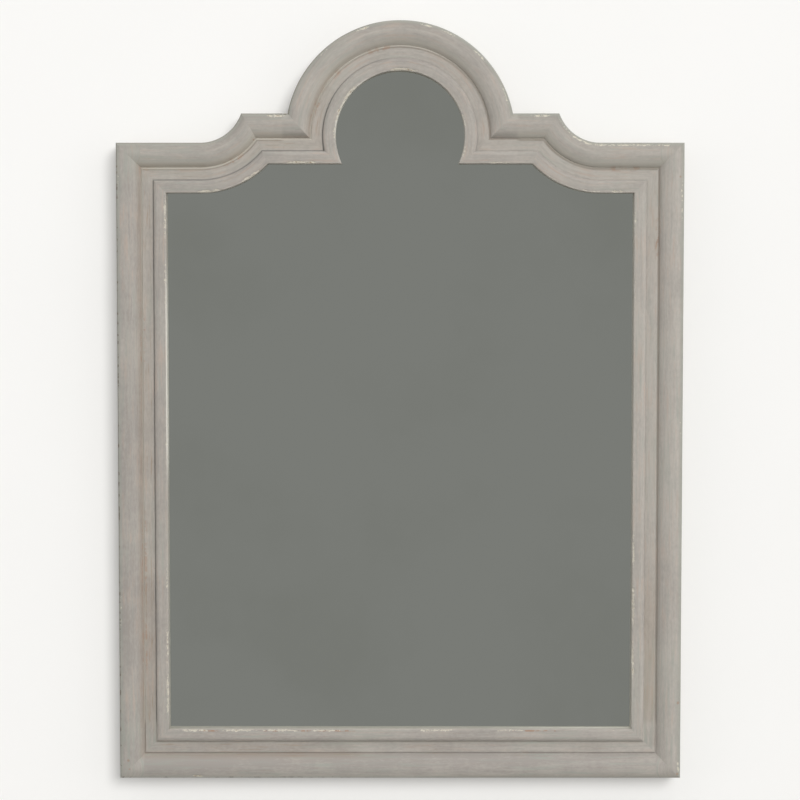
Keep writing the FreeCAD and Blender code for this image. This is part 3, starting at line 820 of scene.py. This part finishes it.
def turned(profile, steps):  # a lathe-turned shape along +Z, from (radius, height) points
    work = bmesh.new()
    loops = []
    for radius, height in profile:
        if radius == 0:
            loops.append([work.verts.new((0, 0, height))])
            continue
        turns = [2 * math.pi * i / steps for i in range(steps)]
        loops.append([work.verts.new((radius * math.cos(t), radius * math.sin(t), height))
                      for t in turns])
    for one, two in zip(loops, loops[1:]):
        for i in range(steps):
            corners = [one[i % len(one)], one[(i + 1) % len(one)],
                       two[(i + 1) % len(two)], two[i % len(two)]]
            work.faces.new(list(dict.fromkeys(corners)))
    mesh = bpy.data.meshes.new("turned")
    bmesh.ops.recalc_face_normals(work, faces=work.faces)
    work.to_mesh(mesh)
    work.free()
    return mesh


strapScrew = {
    "headRadius": 0.0038,
    "headHeight": 0.0024,
    "headRim": 0.42,  # as a share of its height
    "headEdge": 0.00025,
    "shankRadius": 0.0020,
    "shankLength": 0.0180,
    "tipLength": 0.0038,
    "slotLength": (0.00189, 0.00462),  # at its foot and its mouth
    "slotWidth": (0.00063, 0.00099),
    "slotDepth": 0.0013,
    "sides": 32,
    "holeHeights": (-0.025, -0.044),
    "seatDepth": 0.0015,
}
driven = {"Driven at random": 3.0, "Seed": 3}  # radians


def screwMesh():  # a pan head with a cross recess, its shank pointing down -Z
    s = strapScrew
    turns = [math.radians(angle) for angle in range(0, 91, 15)]
    dome = [(s["headRadius"] * math.sin(turn),
             s["headHeight"] * (s["headRim"] + (1 - s["headRim"]) * math.cos(turn)))
            for turn in turns]
    dome[0] = (0, s["headHeight"])
    profile = dome + [(s["headRadius"], s["headEdge"]), (s["headRadius"] - s["headEdge"], 0),
                      (s["shankRadius"], 0), (s["shankRadius"], -s["shankLength"]),
                      (0, -s["shankLength"] - s["tipLength"])]
    head = bpy.data.objects.new("strapScrewBlank", turned(profile, s["sides"]))
    bpy.context.collection.objects.link(head)
    for angle in (0, 90):
        cut = bpy.data.meshes.new("recess")
        work = bmesh.new()
        bmesh.ops.create_cube(work, size=1)
        for vert in work.verts:
            mouth = int(vert.co.z > 0)
            vert.co.x *= s["slotLength"][mouth]
            vert.co.y *= s["slotWidth"][mouth]
            vert.co.z = s["headHeight"] + (s["slotDepth"] if mouth else -s["slotDepth"])
        turn = Matrix.Rotation(math.radians(angle), 3, "Z")
        bmesh.ops.rotate(work, matrix=turn, verts=work.verts)
        work.to_mesh(cut)
        work.free()
        cutter = bpy.data.objects.new("recessCutter", cut)
        bpy.context.collection.objects.link(cutter)
        dig = head.modifiers.new("Recess", "BOOLEAN")
        dig.operation, dig.solver, dig.object = "DIFFERENCE", "EXACT", cutter
        graph = bpy.context.evaluated_depsgraph_get()
        dug = bpy.data.meshes.new_from_object(head.evaluated_get(graph))
        head.modifiers.remove(dig)
        head.data = dug
        bpy.data.objects.remove(cutter)
    return head


def screwsTree():
    tree, sheet, size = newTree("strapScrews", {"Screw": None, **driven})
    screw = sheet.node("GeometryNodeObjectInfo", None, {"Object": size["Screw"]}, "Geometry")
    spin = sheet.node("FunctionNodeRandomValue", {"data_type": "FLOAT"}, {
        "Min": 0.0, "Max": size["Driven at random"], "Seed": size["Seed"]}, 1)
    stand = sheet.node("FunctionNodeRotateEuler", {"space": "LOCAL"}, {
        "Rotation": (-math.pi / 2, 0, 0), "Rotate By": sheet.point(0, 0, spin)})
    mesh = sheet.node("GeometryNodeInstanceOnPoints", None, {
        "Points": size["Geometry"], "Instance": screw, "Rotation": stand})
    finishTree(sheet, mesh, size["Finish"])
    return tree


def softened(node, name, sizes, finish):  # a copy of a CAD node with its edges eased
    mesh = nodes[node].data.copy()
    mesh.materials.clear()
    work = bmesh.new()
    work.from_mesh(mesh)
    bmesh.ops.remove_doubles(work, verts=work.verts, dist=1e-6)
    bmesh.ops.dissolve_limit(work, angle_limit=math.radians(1), verts=work.verts, edges=work.edges)
    work.to_mesh(mesh)
    work.free()
    piece = bpy.data.objects.new(name, mesh)
    bpy.context.collection.objects.link(piece)
    ease = piece.modifiers.new("Ease", "BEVEL")
    ease.limit_method = "ANGLE"
    ease.angle_limit = math.radians(sizes["easedFrom"])
    ease.width = sizes["easedEdge"]
    ease.segments = sizes["easedSteps"]
    ease.use_clamp_overlap = True
    graph = bpy.context.evaluated_depsgraph_get()
    eased = bpy.data.meshes.new_from_object(piece.evaluated_get(graph))
    piece.modifiers.remove(ease)
    piece.data = eased
    eased.materials.append(finish)
    return closeAndTurnOut(piece, 50)


def makeBrass():
    material, sheet, place = newMaterial("brassPlate")
    dull = sheet.smooth(sheet.noise(place, 110, 3, 0.55, 21), 0.38, 0.66)
    brown = sheet.smooth(sheet.noise(place, 520, 3, 0.65, 22), 0.60, 0.72)
    scratch = sheet.noise(sheet.vector("MULTIPLY", place, (1, 1, 0.08)), 2600, 2, 0.5, 23)
    colour = sheet.mix(dull, srgb(212, 178, 110), srgb(188, 153, 90))
    colour = sheet.mix(brown * 0.55, colour, srgb(124, 94, 58))
    surface(sheet, {"Base Color": colour, "Metallic": 1 - brown * 0.35,
                    "Roughness": 0.27 + 0.16 * dull + 0.06 * scratch},
            scratch * 0.000008 - brown * 0.000006)
    return material


def makeZinc():
    material, sheet, place = newMaterial("zincPlate")
    bloom = sheet.noise(place, 260, 3, 0.6, 24)
    rust = sheet.smooth(sheet.noise(place, 700, 4, 0.7, 25), 0.60, 0.70)
    colour = sheet.ramp(bloom, (0.38, srgb(150, 150, 146)), (0.62, srgb(198, 198, 192)))
    colour = sheet.mix(rust * 0.8, colour, srgb(122, 78, 46))
    surface(sheet, {"Base Color": colour, "Metallic": 1 - rust * 0.7,
                    "Roughness": 0.30 + 0.25 * bloom + 0.2 * rust}, bloom * 0.00002)
    return material


def makeRubber():
    material, sheet, place = newMaterial("blackRubber")
    grain = sheet.noise(place, 1800, 2, 0.5, 26)
    dust = sheet.smooth(sheet.noise(place, 150, 4, 0.65, 27), 0.46, 0.70)
    colour = sheet.mix(dust * 0.35, srgb(38, 37, 36), srgb(118, 114, 108))
    surface(sheet, {"Base Color": colour, "Roughness": 0.62 + 0.2 * dust}, grain * 0.00003)
    return material


def makeHardboard():
    material, sheet, place = newMaterial("pressedBoard")
    cloud = sheet.noise(place, 6, 3, 0.6, 28)
    fibre = sheet.noise(place, 520, 4, 0.75, 29)
    stain = sheet.smooth(sheet.noise(place, 2.6, 4, 0.6, 30), 0.55, 0.72)
    colour = sheet.ramp(cloud * 0.18 + fibre * 0.82, (0.34, srgb(96, 70, 48)),
                        (0.50, srgb(126, 94, 66)), (0.66, srgb(156, 122, 90)))
    colour = sheet.mix(stain * 0.14, colour, srgb(84, 62, 45))
    across = sheet.split(place)
    meshPrint = (across * 3100).maths("SINE") * (across.also("Z") * 3100).maths("SINE")
    surface(sheet, {"Base Color": colour, "Roughness": 0.72 + 0.15 * fibre},
            meshPrint * 0.00005 + fibre * 0.00012)
    return material


def makeBareWood():
    material, sheet, place = newMaterial("bareWood")
    slow = sheet.noise(sheet.vector("MULTIPLY", place, (1, 1, 0.12)), 160, 4, 0.6, 31, 0.6)
    pores = sheet.noise(sheet.vector("MULTIPLY", place, (1, 1, 0.05)), 1500, 2, 0.5, 32)
    colour = sheet.ramp(slow * 0.7 + pores * 0.3, (0.36, srgb(158, 122, 84)),
                        (0.52, srgb(190, 156, 115)), (0.66, srgb(208, 178, 139)))
    surface(sheet, {"Base Color": colour, "Roughness": 0.66 + 0.12 * pores},
            slow * 0.00008 + pores * 0.00006)
    return material


def makeMirror():
    material, sheet, place = newMaterial("silveredGlass")
    haze = sheet.smooth(sheet.noise(place, 3.2, 4, 0.55, 33), 0.42, 0.66)
    bits = sheet.smooth(sheet.noise(place, 900, 1, 0.5, 34), 0.80, 0.83)
    colour = sheet.mix(haze, srgb(238, 240, 236), srgb(232, 234, 229))
    surface(sheet, {"Base Color": sheet.mix(bits * 0.3, colour, srgb(190, 188, 180)),
                    "Metallic": 1.0, "Roughness": 0.012 + 0.02 * haze + 0.2 * bits},
            sheet.noise(place, 4, 1, 0.5, 35) * 0.00003)
    return material


brass, zinc, rubber = makeBrass(), makeZinc(), makeRubber()
path = ringPath()
tree = wireTree()
for side, name in ((-1, "left"), (1, "right")):
    points = [(side * hinge["x"] + x, hinge["y"], z) for x, z in path]
    loop = bpy.data.meshes.new("ringPath")
    loop.from_pydata(points, [(i, (i + 1) % len(points)) for i in range(len(points))], [])
    made = grown(name + "_ring_wire", loop, tree, {**ringWire, "Finish": brass})
    stands(closeAndTurnOut(made, 60), name + "_ring", "brass", name + "_hanger_ring")
    node = name + "_hanger_strap"
    plate = softened(node, name + "_strap_plate", strap, brass)
    stands(plate, "frame", "brass", node)
    for height in ("lower", "upper"):
        node = name + "_" + height + "_bumper"
        pad = softened(node, node + "_pad", bumper, rubber)
        stands(pad, "frame", "rubber", node)

blank = screwMesh()
starts = bpy.data.meshes.new("screwStarts")
starts.from_pydata([(side * hinge["x"], outline["Back plane"] + strapScrew["seatDepth"], z)
                    for side in (-1, 1) for z in strapScrew["holeHeights"]], [], [])
screws = grown("strap_screws", starts, screwsTree(), {"Screw": blank, **driven, "Finish": zinc})
bpy.data.objects.remove(blank)
stands(closeAndTurnOut(screws, 40), "frame", "screws", "hanger_screws")
print("hangers, screws and bumpers made")

for finish, names in (
    (makeMirror(), ["mirror_glass"]),
    (makeHardboard(), ["backing_board"]),
    (zinc, ["board_sprigs"]),
    (makeBareWood(), ["mitre_tongues", "right_bead", "left_bead", "bottom_bead", "top_blocks"]),
):
    for name in names:
        nodes[name].data.materials.clear()
        nodes[name].data.materials.append(finish)
print("CAD nodes finished")


# Wall and floor
stageSize = {"wallGap": 0.0006, "width": 5.0, "wallTop": 2.0, "floorHeight": -1.25,
             "floorFront": -1.9, "floorBack": 2.4, "wallGlow": 0.24}


def sheetOf(name, corners, finish):
    mesh = bpy.data.meshes.new(name)
    mesh.from_pydata(corners, [], [tuple(range(len(corners)))])
    mesh.materials.append(finish)
    made = bpy.data.objects.new(name, mesh)
    bpy.context.collection.objects.link(made)


def makeWallPaint():  # seen from behind, the wall isn't there, nor in the way of the light
    material, sheet, place = newMaterial("wallPaint")
    tone = sheet.mix(sheet.noise(place, 3, 2, 0.5, 41), srgb(248, 247, 245), srgb(251, 250, 248))
    lit = sheet.node("ShaderNodeBsdfDiffuse", None, {"Color": tone})
    glow = sheet.node("ShaderNodeEmission", None, {"Color": tone, "Strength": 1.0})
    seen = sheet.node("ShaderNodeLightPath", out="Is Camera Ray")
    front = sheet.node("ShaderNodeMixShader", None, {
        0: seen * stageSize["wallGlow"], 1: lit, 2: glow})
    passed = sheet.maths("GREATER_THAN", seen.also("Transparent Depth"), 0.5)
    behind = sheet.larger(sheet.node("ShaderNodeNewGeometry", out="Backfacing"), passed)
    clear = sheet.node("ShaderNodeBsdfTransparent")
    both = sheet.node("ShaderNodeMixShader", None, {0: behind, 1: front, 2: clear})
    sheet.node("ShaderNodeOutputMaterial", None, {"Surface": both})
    return material


def makeFloorPaint():  # throws less light up at the frame than it shows the camera
    material, sheet, place = newMaterial("floorPaint")
    tone = sheet.mix(sheet.noise(place, 2, 2, 0.5, 42), srgb(226, 225, 222), srgb(232, 231, 228))
    seen = sheet.node("ShaderNodeLightPath", out="Is Camera Ray")
    unseen = sheet.mix(seen.also("Is Glossy Ray"), srgb(134, 133, 130), srgb(152, 152, 148))
    lit = sheet.node("ShaderNodeBsdfDiffuse", None, {"Color": sheet.mix(seen, unseen, tone)})
    sheet.node("ShaderNodeOutputMaterial", None, {"Surface": lit})
    return material


left, right = -stageSize["width"] / 2, stageSize["width"] / 2
low, high, gap = stageSize["floorHeight"], stageSize["wallTop"], stageSize["wallGap"]
near, far = stageSize["floorFront"], stageSize["floorBack"]
sheetOf("wall", [(left, gap, low), (right, gap, low), (right, gap, high), (left, gap, high)],
        makeWallPaint())
sheetOf("floor", [(left, near, low), (right, near, low), (right, far, low), (left, far, low)],
        makeFloorPaint())

# Light
light = {
    "direction": (0.37, -1.0, 0.42),
    "strength": 2.0,
    "spread": 28,
    "front": srgb(130, 131, 128),
    "frontAngles": (22, 65),  # where the front starts to give way to the rest, and where it ends
    "around": 0.95,
    "below": 0.68,
    "belowRange": (-0.6, 0.1),
    "backdrop": srgb(247, 246, 244),
}


def makeWorld():  # darker straight ahead of the glass, which is what the mirror shows
    world = bpy.data.worlds.new("studio")
    world.use_nodes = True
    world.node_tree.nodes.clear()
    bpy.context.scene.world = world
    sheet = Sheet(world.node_tree)
    way = sheet.node("ShaderNodeTexCoord", out="Generated")
    ahead = sheet.vector("DOT_PRODUCT", way, (0, -1, 0), out="Value")
    aside = sheet.smooth(ahead, *(math.cos(math.radians(a)) for a in light["frontAngles"]))
    above = sheet.smooth(sheet.split(way).also("Z"), *light["belowRange"])
    level = light["around"] * (light["below"] + (1 - light["below"]) * above)
    room = sheet.mix(aside, light["front"], sheet.point(level, level, level))
    seen = sheet.node("ShaderNodeLightPath", out="Is Camera Ray")
    colour = sheet.mix(seen, room, light["backdrop"])
    glow = sheet.node("ShaderNodeBackground", None, {"Color": colour, "Strength": 1.0})
    sheet.node("ShaderNodeOutputWorld", None, {"Surface": glow})


makeWorld()
key = bpy.data.lights.new("key", "SUN")
key.energy = light["strength"]
key.angle = math.radians(light["spread"])
keyLight = bpy.data.objects.new("key", key)
keyLight.rotation_euler = Vector(light["direction"]).to_track_quat("Z", "Y").to_euler()
keyLight.visible_glossy = False
bpy.context.collection.objects.link(keyLight)
print("stage lit")

# Camera
camera = {"lens": 98.1, "sensorWidth": 36, "place": (-0.0003, -3.509, -0.0742), "tilt": 86.736}
view = bpy.data.cameras.new("viewpoint")
view.lens = camera["lens"]
view.sensor_width = camera["sensorWidth"]
viewpoint = bpy.data.objects.new("viewpoint", view)
viewpoint.location = camera["place"]
viewpoint.rotation_euler = (math.radians(camera["tilt"]), 0, 0)
bpy.context.collection.objects.link(viewpoint)
bpy.context.scene.camera = viewpoint

bpy.context.scene.view_settings.view_transform = "Standard"
